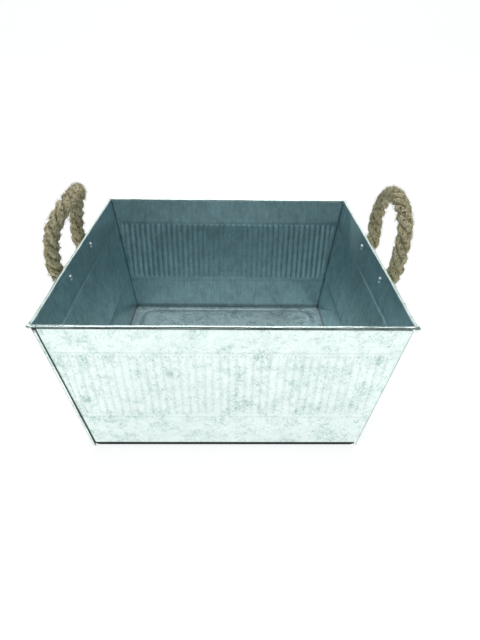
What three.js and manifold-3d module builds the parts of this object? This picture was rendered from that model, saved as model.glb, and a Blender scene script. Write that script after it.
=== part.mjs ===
// Square galvanised florist bucket with two rope handles.
// Units are millimetres, +Z is up. The origin is on the floor, below the middle of the bucket; -Y is the front.
import * as THREE from 'three';
import { mergeVertices } from 'three/addons/utils/BufferGeometryUtils.js';
import Module from 'manifold-3d';

const wasm = await Module();
wasm.setup();

// ---- driving dimensions ----
const GAP = 0.3;                 // clearance left between pieces that touch
const SHEET = 0.6;               // sheet steel thickness
const BASE_HALF = 113.0;         // half width over the walls at the floor
const RIM_HALF = 130.0;          // half width over the walls at RIM_Z
const RIM_Z = 131.0;
const WALL_BOTTOM_Z = 2.3;       // lower edge of the walls between the corner tips
const CORNER_TIP = 3.0;          // width of the corner tips that reach the floor

const BEAD_R = 1.35;             // rolled rim, outer radius
const BEAD_HALF = 131.035;       // half width over the middle of the rolled rim
const BEAD_Z = 133.2;
const BEAD_CORNER_R = 2.3;
const BEAD_WRAP_END = 125.8;     // the side bead goes round the corner to here
const BEAD_START = 125.5;        // and the front or rear bead starts here
const WIRE_R = 0.45;             // wire inside the rolled rim

const FLUTE_PITCH = 6.0;
const FLUTE_HALF_WIDTH = 2.0;
const FLUTE_DEPTH = 1.0;
const FLUTE_LOW_Z = 39.5;
const FLUTE_HIGH_Z = 107.0;
const FLUTE_END = 3.4;           // length over which a flute runs out
const FLUTE_COUNT = 41;
const FLUTE_CORNER_MARGIN = 4.5; // plain strip left between the flutes and a corner

const FLANGE = 2.6;              // seam flange, folded round the corner
const NOTCH_Z = 131.1;           // the sheet is cut away above here at the corners
const NOTCH_S = 127.5;

const FLOOR_Z = 3.3;             // top of the gutter round the base
const FLOOR_HALF = 112.3;
const FOLD_Z = 2.1;              // underside of the doubled edge
const LIP_OUT = 109.3;           // recessed standing lip
const PANEL_RISE = 1.3;
const PANEL_HALF_X = 103.5;
const PANEL_HALF_Y = 103.5;
const PANEL_R = 17.0;
const PANEL_SLOPE = 3.0;

const ROPE_R = 6.0;
const LEG_Y = [-42.0, 26.0];     // front and rear leg of each rope loop
const LEG_NAMES = ['front', 'rear'];
const HINGE_X = 138.2;           // where a leg leaves its socket and starts to bend
const HINGE_Z = 125.0;
const SOCKET_BORE_R = ROPE_R + GAP;
const SOCKET_WALL = 1.1;
const SOCKET_LENGTH = 20.0;
const TAB_T = 1.5;
const TAB_HALF_W = 6.5;
const TAB_TOP = 2.4;             // above the hinge line, along the wall
const TAB_LENGTH = 18.6;         // ends above the flutes
const RIVET_DOWN = 2.5;          // below the hinge line, along the wall
const RIVET_R = 1.6;
const RIVET_HEAD_R = 3.2;
const RIVET_HEAD_H = 1.5;
const RIVET_TAIL_R = 2.6;
const RIVET_TAIL_H = 0.8;

// ---- materials ----
const galv = (tone) => new THREE.MeshStandardMaterial({ color: tone, roughness: 0.34, metalness: 1.0 });
const STEEL_FRONT = galv(0xb9c6c4);
const STEEL_REAR = galv(0xadbbbb);
const STEEL_BASE = galv(0xa3b1b3);
const WIRE = new THREE.MeshStandardMaterial({ color: 0x8d9496, roughness: 0.45, metalness: 1.0 });
const SOCKET = new THREE.MeshStandardMaterial({ color: 0xa9b0b1, roughness: 0.4, metalness: 1.0 });
const RIVET = new THREE.MeshStandardMaterial({ color: 0xd9dddd, roughness: 0.25, metalness: 1.0 });
const JUTE = new THREE.MeshStandardMaterial({ color: 0x9a845f, roughness: 0.95, metalness: 0.0 });

// ---- solids ----
function solid(geometry) {
  const g = geometry.clone();
  for (const name of Object.keys(g.attributes)) if (name !== 'position') g.deleteAttribute(name);
  const merged = mergeVertices(g, 1e-4);
  const p = merged.attributes.position.array;
  const i = merged.index.array;
  const keep = [];
  for (let k = 0; k < i.length; k += 3) {
    if (i[k] !== i[k + 1] && i[k + 1] !== i[k + 2] && i[k] !== i[k + 2]) keep.push(i[k], i[k + 1], i[k + 2]);
  }
  let volume = 0;
  const v = (n) => new THREE.Vector3(p[3 * n], p[3 * n + 1], p[3 * n + 2]);
  for (let k = 0; k < keep.length; k += 3) volume += v(keep[k]).dot(v(keep[k + 1]).cross(v(keep[k + 2])));
  if (volume < 0) for (let k = 0; k < keep.length; k += 3) [keep[k + 1], keep[k + 2]] = [keep[k + 2], keep[k + 1]];
  return new wasm.Manifold(new wasm.Mesh({ numProp: 3, vertProperties: new Float32Array(p), triVerts: new Uint32Array(keep) }));
}

function fromSolid(s) {
  const m = s.getMesh();
  const g = new THREE.BufferGeometry();
  g.setAttribute('position', new THREE.BufferAttribute(new Float32Array(m.vertProperties), 3));
  g.setIndex(new THREE.BufferAttribute(new Uint32Array(m.triVerts), 1));
  return g;
}

const joined = (list) => list.reduce((a, b) => a.add(b));

// Rings of equally many points, skinned in order; a loop closes on its first ring.
function skin(rings, loop = false) {
  const n = rings[0].length;
  const at = [];
  const index = [];
  rings.forEach((ring) => ring.forEach((q) => at.push(q.x, q.y, q.z)));
  const last = loop ? rings.length : rings.length - 1;
  for (let r = 0; r < last; r++) {
    const a = r * n;
    const b = ((r + 1) % rings.length) * n;
    for (let k = 0; k < n; k++) {
      const l = (k + 1) % n;
      index.push(a + k, a + l, b + l, a + k, b + l, b + k);
    }
  }
  if (!loop) {
    for (const [start, ring, flip] of [[0, rings[0], true], [(rings.length - 1) * n, rings[rings.length - 1], false]]) {
      const centre = ring.reduce((s, q) => s.add(q), new THREE.Vector3()).divideScalar(n);
      const normal = new THREE.Vector3();
      for (let k = 0; k < n; k++) normal.add(ring[k].clone().sub(centre).cross(ring[(k + 1) % n].clone().sub(centre)));
      normal.normalize();
      const ex = ring[0].clone().sub(centre).projectOnPlane(normal).normalize();
      const ey = normal.clone().cross(ex);
      const flat = ring.map((q) => new THREE.Vector2(q.clone().sub(centre).dot(ex), q.clone().sub(centre).dot(ey)));
      for (const [i, j, k] of THREE.ShapeUtils.triangulateShape(flat, [])) {
        if (flip) index.push(start + i, start + k, start + j);
        else index.push(start + i, start + j, start + k);
      }
    }
  }
  const g = new THREE.BufferGeometry();
  g.setAttribute('position', new THREE.Float32BufferAttribute(at, 3));
  g.setIndex(index);
  return g;
}

// A block between two four-cornered rings.
const V = (x, y, z) => new THREE.Vector3(x, y, z);
const block = (low, high) => solid(skin([low, high]));

const half = (z) => BASE_HALF + ((RIM_HALF - BASE_HALF) * z) / RIM_Z;
const SLOPE = Math.atan2(RIM_HALF - BASE_HALF, RIM_Z);

// ---- wall sheet: the front and the right wall, bent from one strip ----
function wallPlate(z0, z1, s0, s1) {
  // front wall between s0(z) and s1(z)
  const ring = (z) => [V(s0(z), -half(z), z), V(s1(z), -half(z), z), V(s1(z), -half(z) + SHEET, z), V(s0(z), -half(z) + SHEET, z)];
  return block(ring(z0), ring(z1));
}

function turned(s, degrees) {
  return s.rotate([0, 0, degrees]);
}

function ridge(s, z0, z1, out) {
  // one flute on the front wall: a long ridge with pointed ends, sunk in the wall outside, or the matching groove inside
  const face = out ? 0 : -SHEET;
  const back = out ? 0.3 : 0.5;
  const y = (z, d) => -half(z) - face - d;
  const tip = (z) => [0, 1, 2, 3, 4].map(() => V(s, y(z, -back / 2), z));
  const full = (z) => [V(s - FLUTE_HALF_WIDTH, y(z, -back), z), V(s - FLUTE_HALF_WIDTH, y(z, 0), z), V(s, y(z, FLUTE_DEPTH), z), V(s + FLUTE_HALF_WIDTH, y(z, 0), z), V(s + FLUTE_HALF_WIDTH, y(z, -back), z)];
  return solid(skin([tip(z0), full(z0 + FLUTE_END), full(z1 - FLUTE_END), tip(z1)]));
}

function fluteRuns() {
  const runs = [];
  for (let k = 0; k < FLUTE_COUNT; k++) {
    const s = (k - (FLUTE_COUNT - 1) / 2) * FLUTE_PITCH;
    // the corner is reached where half(z) - margin = |s| + half a flute
    const reach = Math.abs(s) + FLUTE_HALF_WIDTH + FLUTE_CORNER_MARGIN;
    const zCorner = ((reach - BASE_HALF) * RIM_Z) / (RIM_HALF - BASE_HALF);
    const low = Math.max(FLUTE_LOW_Z, zCorner);
    if (FLUTE_HIGH_Z - low > 14) runs.push([s, low, FLUTE_HIGH_Z]);
  }
  return runs;
}

function curlSection() {
  // the rolled rim, open underneath beside the wall; first value is outward, second is up
  const pts = [];
  const from = 180;
  const to = -118;
  const steps = 13;
  for (let k = 0; k <= steps; k++) {
    const a = THREE.MathUtils.degToRad(from + ((to - from) * k) / steps);
    pts.push([BEAD_R * Math.cos(a), BEAD_R * Math.sin(a)]);
  }
  for (let k = steps; k >= 0; k--) {
    const a = THREE.MathUtils.degToRad(from + ((to - from) * k) / steps);
    pts.push([(BEAD_R - SHEET) * Math.cos(a), (BEAD_R - SHEET) * Math.sin(a)]);
  }
  return pts;
}

// Plan path of the rolled rim; each station has a place and the outward direction across it.
function corner(cx, cy, r, a0, a1, steps) {
  const out = [];
  for (let k = 0; k <= steps; k++) {
    const a = THREE.MathUtils.degToRad(a0 + ((a1 - a0) * k) / steps);
    out.push([V(cx + r * Math.cos(a), cy + r * Math.sin(a), 0), V(Math.cos(a), Math.sin(a), 0)]);
  }
  return out;
}

function beadPath() {
  const h = BEAD_HALF;
  const c = h - BEAD_CORNER_R;
  return [
    [V(-BEAD_START, -h, 0), V(0, -1, 0)],
    ...corner(c, -c, BEAD_CORNER_R, -90, 0, 4),
    ...corner(c, c, BEAD_CORNER_R, 0, 90, 4),
    [V(BEAD_WRAP_END, h, 0), V(0, 1, 0)],
  ];
}

function curl() {
  const section = curlSection();
  return solid(skin(beadPath().map(([at, out]) => section.map(([u, w]) => V(at.x + out.x * u, at.y + out.y * u, BEAD_Z + w)))));
}

function socketFrame(side, y) {
  // wall's outward normal and upward direction at a socket; side is +1 on the right and -1 on the left
  const n = V(side * Math.cos(SLOPE), 0, -Math.sin(SLOPE));
  const w = V(side * Math.sin(SLOPE), 0, Math.cos(SLOPE));
  const hinge = V(side * HINGE_X, y, HINGE_Z);
  const foot = V(side * half(HINGE_Z), y, HINGE_Z);
  const depth = hinge.clone().sub(foot).dot(n); // from the wall's face to the hinge line
  return { n, w, hinge, depth, at: (u, v, up) => hinge.clone().addScaledVector(n, u - depth).add(V(0, v, 0)).addScaledVector(w, up) };
}

function turnedAlong(geometry, frame, direction, at) {
  // a shape made along +Y (as three.js lathes and cylinders are) is turned to run along direction
  const q = new THREE.Quaternion().setFromUnitVectors(V(0, 1, 0), direction);
  return geometry.clone().applyQuaternion(q).translate(at.x, at.y, at.z);
}

function rivetHole(side, y) {
  const f = socketFrame(side, y);
  return solid(turnedAlong(new THREE.CylinderGeometry(RIVET_R + GAP, RIVET_R + GAP, 8, 12), f, f.n, f.at(0, 0, -RIVET_DOWN)));
}

function wallSheet(rivetSide, mirrored) {
  const inset = SHEET + GAP;
  let s = wallPlate(0, NOTCH_Z, (z) => -half(z) + inset, (z) => half(z));
  s = s.add(wallPlate(NOTCH_Z - 0.2, BEAD_Z, () => -BEAD_START, () => NOTCH_S));
  const rightRing = (z) => [V(half(z) - SHEET, -half(z), z), V(half(z), -half(z), z), V(half(z), half(z) + inset, z), V(half(z) - SHEET, half(z) + inset, z)];
  s = s.add(block(rightRing(0), rightRing(NOTCH_Z)));
  s = s.add(turned(wallPlate(NOTCH_Z - 0.2, BEAD_Z, () => -NOTCH_S, () => NOTCH_S), 90));
  const flangeRing = (z) => [V(half(z) - FLANGE, half(z) + GAP, z), V(half(z), half(z) + GAP, z), V(half(z), half(z) + inset, z), V(half(z) - FLANGE, half(z) + inset, z)];
  s = s.add(block(flangeRing(0), flangeRing(NOTCH_Z)));

  const ridges = fluteRuns().map(([at, low, high]) => ridge(at, low, high, true));
  const grooves = fluteRuns().map(([at, low, high]) => ridge(at, low, high, false));
  const out = joined(ridges);
  const inward = joined(grooves);
  s = s.add(out).add(turned(out, 90)).subtract(inward).subtract(turned(inward, 90));

  s = s.add(curl());
  // lower edge between the corner tips
  const edge = BASE_HALF - CORNER_TIP;
  const cut = (x0, y0, x1, y1) => {
    const g = new THREE.BoxGeometry(x1 - x0, y1 - y0, WALL_BOTTOM_Z + 2);
    g.translate((x0 + x1) / 2, (y0 + y1) / 2, WALL_BOTTOM_Z / 2 - 1);
    return solid(g);
  };
  s = s.subtract(cut(-BASE_HALF - 5, -BASE_HALF - 3, edge, -BASE_HALF + 3));
  s = s.subtract(cut(BASE_HALF - 3, -edge, BASE_HALF + 3, edge));
  // rivet holes are drilled after the sheet is turned to its place
  for (const y of LEG_Y) s = s.subtract(rivetHole(1, mirrored ? -y : y));
  return s;
}

// ---- base: doubled edge, recessed standing lip, raised panel with round corners ----
function roundedRing(hx, hy, r, z, steps = 6) {
  const pts = [];
  for (const [cx, cy, a0] of [[hx - r, hy - r, 0], [-hx + r, hy - r, 90], [-hx + r, -hy + r, 180], [hx - r, -hy + r, 270]]) {
    for (let k = 0; k <= steps; k++) {
      const a = THREE.MathUtils.degToRad(a0 + (90 * k) / steps);
      pts.push(V(cx + r * Math.cos(a), cy + r * Math.sin(a), z));
    }
  }
  return pts;
}

function boxSolid(x0, y0, z0, x1, y1, z1) {
  const g = new THREE.BoxGeometry(x1 - x0, y1 - y0, z1 - z0);
  g.translate((x0 + x1) / 2, (y0 + y1) / 2, (z0 + z1) / 2);
  return solid(g);
}

function basePan() {
  const t = SHEET;
  let s = boxSolid(-FLOOR_HALF, -FLOOR_HALF, FOLD_Z, FLOOR_HALF, FLOOR_HALF, FLOOR_Z);
  s = s.add(boxSolid(-LIP_OUT, -LIP_OUT, 0, LIP_OUT, LIP_OUT, FLOOR_Z - 0.1));
  s = s.subtract(boxSolid(-LIP_OUT + t, -LIP_OUT + t, -1, LIP_OUT - t, LIP_OUT - t, FLOOR_Z - t));
  const up = solid(skin([
    roundedRing(PANEL_HALF_X, PANEL_HALF_Y, PANEL_R, FLOOR_Z - 0.1),
    roundedRing(PANEL_HALF_X, PANEL_HALF_Y, PANEL_R, FLOOR_Z),
    roundedRing(PANEL_HALF_X - PANEL_SLOPE, PANEL_HALF_Y - PANEL_SLOPE, PANEL_R - PANEL_SLOPE, FLOOR_Z + PANEL_RISE),
  ]));
  const hollow = solid(skin([
    roundedRing(PANEL_HALF_X - 0.35, PANEL_HALF_Y - 0.35, PANEL_R - 0.35, FLOOR_Z - t - 0.2),
    roundedRing(PANEL_HALF_X - 0.35, PANEL_HALF_Y - 0.35, PANEL_R - 0.35, FLOOR_Z - t),
    roundedRing(PANEL_HALF_X - PANEL_SLOPE - 0.35, PANEL_HALF_Y - PANEL_SLOPE - 0.35, PANEL_R - PANEL_SLOPE - 0.35, FLOOR_Z + PANEL_RISE - t),
  ]));
  return s.add(up).subtract(hollow);
}

// ---- rim wire ----
function rimWire() {
  const h = BEAD_HALF;
  const c = h - BEAD_CORNER_R;
  const path = [
    ...corner(c, -c, BEAD_CORNER_R, -90, 0, 4),
    ...corner(c, c, BEAD_CORNER_R, 0, 90, 4),
    ...corner(-c, c, BEAD_CORNER_R, 90, 180, 4),
    ...corner(-c, -c, BEAD_CORNER_R, 180, 270, 4),
  ];
  const rings = path.map(([at, out]) => {
    const ring = [];
    for (let k = 0; k < 8; k++) {
      const a = (2 * Math.PI * (k + 0.5)) / 8;
      ring.push(V(at.x + out.x * WIRE_R * Math.cos(a), at.y + out.y * WIRE_R * Math.cos(a), BEAD_Z + WIRE_R * Math.sin(a)));
    }
    return ring;
  });
  return solid(skin(rings, true));
}

// ---- rope socket: a steel cup with a flat tab that is riveted to the wall ----
function socket(side, y) {
  const f = socketFrame(side, y);
  const mouth = -(ROPE_R + GAP);
  const ro = SOCKET_BORE_R + SOCKET_WALL;
  const rb = SOCKET_BORE_R;
  const L = SOCKET_LENGTH;
  const profile = [[0, -L], [ro - 1.2, -L], [ro, -L + 1.2], [ro, 0], [rb, 0], [rb, -L + SOCKET_WALL], [0, -L + SOCKET_WALL]];
  const cup = turnedAlong(new THREE.LatheGeometry(profile.map(([r, h]) => new THREE.Vector2(r, h)), 16), f, f.w, f.at(f.depth, 0, mouth));
  const back = f.depth - ro; // nearest point of the cup to the wall
  const tabShape = new THREE.Shape();
  const low = -TAB_LENGTH + TAB_TOP;
  const high = TAB_TOP;
  const r = 3;
  tabShape.moveTo(-TAB_HALF_W, low);
  tabShape.lineTo(TAB_HALF_W, low);
  tabShape.lineTo(TAB_HALF_W, high - r);
  tabShape.absarc(TAB_HALF_W - r, high - r, r, 0, Math.PI / 2, false);
  tabShape.lineTo(-TAB_HALF_W + r, high);
  tabShape.absarc(-TAB_HALF_W + r, high - r, r, Math.PI / 2, Math.PI, false);
  tabShape.lineTo(-TAB_HALF_W, low);
  const tab = new THREE.ExtrudeGeometry(tabShape, { depth: TAB_T, bevelEnabled: false, curveSegments: 3 });
  // shape x runs along the wall, shape y up the wall, extrusion away from it
  const m = new THREE.Matrix4().makeBasis(V(0, side, 0), f.w, f.n);
  tab.applyMatrix4(m);
  const at = f.at(GAP, 0, 0);
  tab.translate(at.x, at.y, at.z);
  const bore = turnedAlong(new THREE.CylinderGeometry(rb, rb, L - SOCKET_WALL + 6, 16), f, f.w, f.at(f.depth, 0, mouth - (L - SOCKET_WALL) / 2 + 3));
  const hole = rivetHole(side, y);
  if (back > GAP + TAB_T) throw new Error('the cup does not reach its tab');
  return solid(cup).add(solid(tab)).subtract(solid(bore)).subtract(hole);
}

function ropeEnd(side, y) {
  const f = socketFrame(side, y);
  const mouth = -(ROPE_R + GAP);
  const length = SOCKET_LENGTH - SOCKET_WALL - GAP;
  return solid(turnedAlong(new THREE.CylinderGeometry(ROPE_R, ROPE_R, length, 16), f, f.w, f.at(f.depth, 0, mouth - length / 2)));
}

function rivet(side, y) {
  const f = socketFrame(side, y);
  const inner = -SHEET - GAP;              // underside of the domed head, inside the bucket
  const outer = GAP + TAB_T + GAP;         // underside of the set tail, on the tab
  const h = [];
  for (let k = 0; k <= 3; k++) {
    const a = (Math.PI / 2) * (k / 3);
    h.push([RIVET_HEAD_R * Math.sin(a), inner - RIVET_HEAD_H * Math.cos(a)]);
  }
  const profile = [...h, [RIVET_R, inner], [RIVET_R, outer], [RIVET_TAIL_R, outer], [RIVET_TAIL_R * 0.8, outer + RIVET_TAIL_H], [0, outer + RIVET_TAIL_H]];
  return solid(turnedAlong(new THREE.LatheGeometry(profile.map(([r, u]) => new THREE.Vector2(r, u)), 12), f, f.n, f.at(0, 0, -RIVET_DOWN)));
}

// ---- rope loops ----
const LOOP_LEFT = [[-138.2, -42, 125], [-141.6, -42.2, 138], [-143.5, -41.5, 150], [-140.6, -37.6, 166.3], [-135.6, -29.8, 176.3], [-131.6, -18.4, 181], [-130.2, -2, 182.3], [-131.4, 13, 180.4], [-135.2, 24, 174.6], [-139.8, 30.2, 163.2], [-142.6, 31.4, 150], [-141.4, 29.6, 138], [-138.2, 26, 125]];
const LOOP_RIGHT = [[138.2, -42, 125], [141.4, -43.8, 137], [143.0, -43.2, 150], [143.5, -38.8, 164.7], [143.5, -28.6, 176], [143.4, -14.3, 182.1], [143.4, -1.6, 183.6], [143.5, 12, 181.2], [143.5, 25.4, 174], [143.4, 34, 161.6], [142.8, 35.6, 146], [141, 32, 135], [138.2, 26, 125]];

function ropeLoop(points) {
  const curve = new THREE.CatmullRomCurve3(points.map((p) => V(...p)), false, 'centripetal');
  const circle = new THREE.Shape();
  const sides = 10;
  for (let k = 0; k < sides; k++) {
    const a = (2 * Math.PI * (k + 0.5)) / sides;
    if (k === 0) circle.moveTo(ROPE_R * Math.cos(a), ROPE_R * Math.sin(a));
    else circle.lineTo(ROPE_R * Math.cos(a), ROPE_R * Math.sin(a));
  }
  circle.closePath();
  const tube = solid(new THREE.ExtrudeGeometry(circle, { steps: 20, extrudePath: curve, bevelEnabled: false, curveSegments: 1 }));
  const ends = [points[0], points[points.length - 1]].map((p) => {
    const ball = new THREE.SphereGeometry(ROPE_R - 0.05, 12, 8);
    ball.translate(...p);
    return solid(ball);
  });
  return joined([tube, ...ends]);
}

// ---- the assembly ----
const bucket = new THREE.Group();
bucket.name = 'florist_bucket';

function add(name, s, material) {
  const mesh = new THREE.Mesh(fromSolid(s), material);
  mesh.name = name;
  bucket.add(mesh);
}

add('wall_sheet_front_right', wallSheet(1, false), STEEL_FRONT);
add('wall_sheet_rear_left', turned(wallSheet(1, true), 180), STEEL_REAR);
add('base_pan', basePan(), STEEL_BASE);
add('rim_wire', rimWire(), WIRE);
for (const [side, word] of [[-1, 'left'], [1, 'right']]) {
  LEG_Y.forEach((y, k) => {
    add(`rope_socket_${word}_${LEG_NAMES[k]}`, socket(side, y), SOCKET);
    add(`socket_rivet_${word}_${LEG_NAMES[k]}`, rivet(side, y), RIVET);
    add(`rope_end_${word}_${LEG_NAMES[k]}`, ropeEnd(side, y), JUTE);
  });
  add(`rope_handle_${word}`, ropeLoop(side < 0 ? LOOP_LEFT : LOOP_RIGHT), JUTE);
}

export default bucket;
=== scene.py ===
"""Galvanised square florist bucket with two rope handles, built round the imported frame."""
import math

import bpy
import bmesh
import numpy as np
from mathutils import Matrix, Vector


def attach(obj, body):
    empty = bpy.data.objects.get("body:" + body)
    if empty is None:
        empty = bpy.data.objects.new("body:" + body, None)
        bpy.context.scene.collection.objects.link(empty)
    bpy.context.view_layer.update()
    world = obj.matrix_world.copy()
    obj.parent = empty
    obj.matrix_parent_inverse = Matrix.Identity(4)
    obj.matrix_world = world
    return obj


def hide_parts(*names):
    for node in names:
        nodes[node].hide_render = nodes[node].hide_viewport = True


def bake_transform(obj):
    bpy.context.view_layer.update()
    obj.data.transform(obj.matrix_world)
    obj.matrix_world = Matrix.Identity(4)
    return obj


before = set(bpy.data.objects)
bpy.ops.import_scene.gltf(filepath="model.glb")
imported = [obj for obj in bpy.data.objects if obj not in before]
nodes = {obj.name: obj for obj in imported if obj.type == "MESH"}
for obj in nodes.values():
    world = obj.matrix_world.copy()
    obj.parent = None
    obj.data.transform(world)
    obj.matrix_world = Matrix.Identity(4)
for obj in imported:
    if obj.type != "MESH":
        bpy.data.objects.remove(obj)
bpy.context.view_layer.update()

MM = 0.001
scene = bpy.context.scene

# ---------------------------------------------------------------- dimensions (mm)
SHEET = 0.6
BASE_HALF, RIM_HALF, RIM_Z = 113.0, 130.0, 131.0
BEAD_R, BEAD_HALF, BEAD_Z, BEAD_CORNER = 1.35, 131.035, 133.2, 1.40
BEND = 0.65
BEAD_START, BEAD_WRAP = 125.5, 125.8
GAP = 0.3
WALL_BOTTOM = 2.3
TIP = 3.0
FLANGE = 2.6
PITCH = 6.0
FLUTE_LOW, FLUTE_HIGH = 41.0, 107.0
CREASE_LOW, CREASE_HIGH = 37.5, 108.5
LEG_Y = (-42.0, 26.0)
HINGE_X, HINGE_Z = 138.2, 125.0
ROPE_R = 6.0


def half(z):
    return BASE_HALF + (RIM_HALF - BASE_HALF) * z / RIM_Z


SLOPE = math.atan2(RIM_HALF - BASE_HALF, RIM_Z)


# ---------------------------------------------------------------- camera
def add_camera():
    data = bpy.data.cameras.new("camera")
    data.sensor_fit = "AUTO"
    data.sensor_width = 36.0
    data.lens = 479.73 * 36.0 / 640.0
    data.clip_start, data.clip_end = 0.01, 50.0
    cam = bpy.data.objects.new("camera", data)
    scene.collection.objects.link(cam)
    pitch, yaw, roll = math.radians(32.66), math.radians(1.197), math.radians(0.947)
    fwd = Vector((math.sin(yaw) * math.cos(pitch), math.cos(yaw) * math.cos(pitch), -math.sin(pitch)))
    right = Vector((math.cos(yaw), -math.sin(yaw), 0.0))
    up = right.cross(fwd)
    r2 = right * math.cos(roll) + up * math.sin(roll)
    u2 = -right * math.sin(roll) + up * math.cos(roll)
    m = Matrix((
        (r2.x, u2.x, -fwd.x, 0.00493),
        (r2.y, u2.y, -fwd.y, -0.40302),
        (r2.z, u2.z, -fwd.z, 0.31379),
        (0, 0, 0, 1),
    ))
    cam.matrix_world = m
    scene.camera = cam
    return cam


add_camera()


# ---------------------------------------------------------------- mesh helpers
def mesh_object(name, verts, faces, smooth=True, sharp_deg=None):
    me = bpy.data.meshes.new(name)
    me.from_pydata([tuple(v) for v in verts], [], [tuple(f) for f in faces])
    me.validate()
    bm = bmesh.new()
    bm.from_mesh(me)
    bmesh.ops.remove_doubles(bm, verts=bm.verts, dist=2e-6)
    bmesh.ops.recalc_face_normals(bm, faces=bm.faces)
    bm.to_mesh(me)
    bm.free()
    o = bpy.data.objects.new(name, me)
    scene.collection.objects.link(o)
    if smooth:
        for p in me.polygons:
            p.use_smooth = True
        if sharp_deg is not None:
            me.set_sharp_from_angle(angle=math.radians(sharp_deg))
    return o


class Soup:
    """Collects grids and rings of points, in mm, into one mesh."""

    def __init__(self):
        self.v, self.f = [], []

    def add(self, verts, faces):
        n = len(self.v)
        self.v.extend(verts)
        self.f.extend([tuple(i + n for i in f) for f in faces])

    def grid(self, rows, close_rows=False, close_cols=False, flip=False):
        """rows: list of equally long lists of points."""
        r, c = len(rows), len(rows[0])
        verts = [p for row in rows for p in row]
        faces = []
        for i in range(r if close_rows else r - 1):
            for j in range(c if close_cols else c - 1):
                a, b = i * c + j, i * c + (j + 1) % c
                d, e = ((i + 1) % r) * c + (j + 1) % c, ((i + 1) % r) * c + j
                faces.append((a, e, d, b) if flip else (a, b, d, e))
        self.add(verts, faces)

    def object(self, name, smooth=True, sharp_deg=None):
        return mesh_object(name, [(x * MM, y * MM, z * MM) for x, y, z in self.v], self.f, smooth, sharp_deg)


def smoothstep(x):
    x = np.clip(x, 0.0, 1.0)
    return x * x * (3 - 2 * x)


rng = np.random.default_rng(7)


def noise2(seed, scale):
    """A smooth seeded field of two arguments, about -1 to 1, repeating far outside the part."""
    r = np.random.default_rng(seed)
    k = r.normal(size=(14, 2)) / scale
    ph = r.uniform(0, 2 * math.pi, 14)

    def f(a, b):
        return np.sum(np.sin(np.multiply.outer(a, k[:, 0]) + np.multiply.outer(b, k[:, 1]) + ph), axis=-1) / 3.0

    return f


# ---------------------------------------------------------------- walls
# Distance out of the flat wall (mm) at s along the wall and height z: rounded flutes, creases at both ends of the
# band, and the slight waves that pressing leaves in thin sheet.
def wall_relief(s, z, seed, field):
    edge = half(z) - np.abs(s)
    k = np.round(s / PITCH)
    phase = s - k * PITCH
    live = smoothstep((edge - 3.5) / 5.0)
    top = smoothstep((FLUTE_HIGH - z) / 3.5)
    bottom = smoothstep((z - FLUTE_LOW) / 3.5)
    bump = 0.5 + 0.5 * np.cos(2 * math.pi * phase / PITCH)
    flutes = 1.2 * (bump ** 1.15) * top * bottom * live
    crease = 0.0
    for zc, w, d in ((CREASE_HIGH, 0.9, -0.16), (CREASE_LOW, 0.9, -0.16)):
        crease = crease + d * np.exp(-((z - zc) / w) ** 2) * smoothstep((edge - 1.5) / 3.0)
    waves = 0.16 * field(s, z) * smoothstep((edge - 2.0) / 14.0) * smoothstep((126.0 - z) / 12.0) * smoothstep((z - 4.0) / 10.0)
    return flutes + crease + waves


def s_lines(lo, hi):
    """Places along a wall: fine across the flutes, fine beside the ends."""
    pts = [lo, lo + 0.35, lo + 1.0, lo + 2.2]
    x = lo + 3.0
    inner = np.arange(math.ceil((lo + 3.2) / 0.75) * 0.75, hi - 3.0, 0.75)
    pts += inner.tolist()
    pts += [hi - 2.2, hi - 1.0, hi - 0.35, hi]
    return np.array(sorted(set(round(p, 4) for p in pts)))


Z_ROWS = np.array([0.0, 3.4, 3.95, 4.3, 5.0, 8.0, 12, 16, 20, 24, 28, 32, 34.5, 36.2, 37.0, 37.5, 38.0, 38.8, 40.0, 41.2, 42.2, 43.2, 44.4, 46, 49,
                   53, 57, 61, 65, 69, 73, 77, 81, 85, 89, 93, 97, 100, 102, 103.6, 104.6, 105.4, 106.2, 107.0, 107.6, 108.1, 108.5, 108.9,
                   109.6, 111, 114, 118, 122, 125.5, 128.2, 130.0, 131.2, 132.2])


def column_xy(kind, value, quarter, z, off):
    """Plan place of one column of a wall sheet. kind wall: value is the share of the half width on wall number quarter,
    0 front and 1 right. kind arc: value is the angle round the corner after that wall. off is the distance out of the
    wall's outer face. z and off are arrays."""
    h = half(z)
    if kind == "wall":
        x, y = value * h, -(h + off)
    else:
        a = math.radians(-90 + value)
        c = h - BEND
        k = (BEND + off) * squarish(a)
        x, y = c + k * math.cos(a), -c + k * math.sin(a)
    for _ in range(quarter):
        x, y = -y, x
    return x, y


def squarish(a):
    """How far a tight folded corner stands out of a true arc at angle a."""
    return (abs(math.cos(a)) ** 5 + abs(math.sin(a)) ** 5) ** -0.2


def curl_profile():
    """Offsets from the bead's centre, from the wall's outer face round the inside of the curl to its lip, and back outside."""
    ri, ro, rm = BEAD_R - SHEET, BEAD_R, BEAD_R - SHEET / 2
    def at(r, a):
        return (r * math.cos(math.radians(a)), r * math.sin(math.radians(a)))
    inner = [at(ri, a) for a in np.linspace(180, -112, 15)]
    lip = [at(ri + 0.1, -116), at(ro - 0.1, -117)]
    outer = [at(ro, a) for a in np.linspace(-112, 180, 25)]
    return inner + lip + outer


CURL = curl_profile()


def bead_wander(u, seed):
    """Slight unevenness of the rolled rim along its path, mm."""
    return 0.13 * math.sin(u / 17.0 + seed) + 0.08 * math.sin(u / 6.1 + 2.1 * seed) + 0.05 * math.sin(u / 2.7 + 3.3 * seed)


CURL_DU = np.array([c[0] for c in CURL])
CURL_DZ = np.array([c[1] for c in CURL])


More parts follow.
